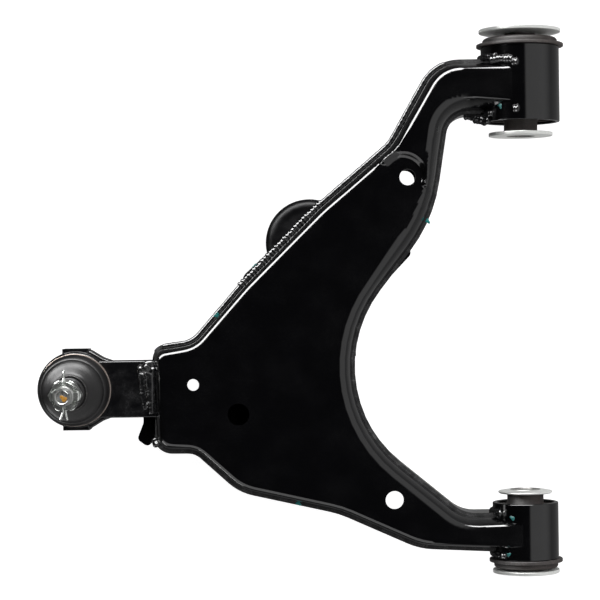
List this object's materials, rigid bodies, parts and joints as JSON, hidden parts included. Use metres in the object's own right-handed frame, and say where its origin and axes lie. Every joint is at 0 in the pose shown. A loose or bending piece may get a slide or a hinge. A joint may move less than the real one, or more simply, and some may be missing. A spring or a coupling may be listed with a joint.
{
  "type": "suspension control arm",
  "caption": "Welded steel front lower suspension arm with two rubber pivot bushes and a sealed ball joint with castle nut.",
  "frame": {"origin": "centre of the front pivot bush's bolt hole, halfway along it", "axes": "+Y along the pivot axis from the rear bush to the front one, -X out to the ball joint, +Z the way the ball stud's thread points"},
  "size_m": [0.444, 0.4555, 0.1582],
  "materials": {
    "black_coat": "gloss black cathodic dip paint over pressed and forged steel",
    "zinc_plate": "bright zinc plate, satin",
    "plain_steel": "phosphated or plated steel, satin",
    "bush_rubber": "moulded natural rubber, semi-matt",
    "boot_rubber": "moulded chloroprene rubber, satin",
    "seat_plastic": "acetal bearing seat",
    "liner_steel": "dark coated steel liner with rubber flash"
  },
  "bodies": {
    "arm": {"upper_shell": "black_coat", "lower_shell": "black_coat", "seam_weld": "black_coat", "shank_weld": "black_coat", "shock_bracket": "black_coat", "shock_weld_nut": "black_coat", "bump_stop_seat": "black_coat", "front_bush_tube": "black_coat", "rear_bush_tube": "black_coat", "ball_joint_housing": "black_coat", "front_bush_outer_sleeve": "liner_steel", "rear_bush_outer_sleeve": "liner_steel", "front_bush_rubber": "bush_rubber", "rear_bush_rubber": "bush_rubber", "ball_seat_lower": "seat_plastic", "ball_seat_upper": "seat_plastic", "preload_spring": "plain_steel", "housing_cap": "plain_steel", "boot_retaining_ring": "plain_steel"},
    "front_bush_core": {"front_bush_inner_sleeve": "zinc_plate", "front_stop_washer": "zinc_plate", "front_end_washer": "zinc_plate"},
    "rear_bush_core": {"rear_bush_inner_sleeve": "zinc_plate", "rear_end_washer": "zinc_plate", "rear_stop_washer": "zinc_plate"},
    "boot": {"dust_boot": "boot_rubber"},
    "boot_collar": {"boot_clip_ring": "plain_steel"},
    "stud": {"ball_stud": "plain_steel", "castle_nut": "zinc_plate", "cotter_pin": "plain_steel"}
  },
  "joints": [
    {"name": "front_bush_twist", "type": "hinge", "parent": "arm", "child": "front_bush_core", "pos_m": [0, 0, 0], "axis": [0, 1, 0], "range_deg": [-20, 20], "stiffness_Nm_per_rad": 80, "deforming": ["front_bush_rubber"]},
    {"name": "rear_bush_twist", "type": "hinge", "parent": "arm", "child": "rear_bush_core", "pos_m": [0, -0.3757, 0], "axis": [0, 1, 0], "range_deg": [-20, 20], "stiffness_Nm_per_rad": 80, "deforming": ["rear_bush_rubber"]},
    {"name": "stud_swing", "type": "hinge", "parent": "arm", "child": "boot", "pos_m": [-0.3755, -0.2523, 0], "axis": [0, 1, 0], "range_deg": [-18, 22], "deforming": ["dust_boot"]},
    {"name": "stud_tilt", "type": "hinge", "parent": "boot", "child": "boot_collar", "pos_m": [-0.3755, -0.2523, 0], "axis": [1, 0, 0], "range_deg": [-14, 10]},
    {"name": "stud_spin", "type": "hinge", "parent": "boot_collar", "child": "stud", "pos_m": [-0.3755, -0.2523, 0], "axis": [-0.0436, -0.0366, 0.9984], "continuous": true}
  ]
}
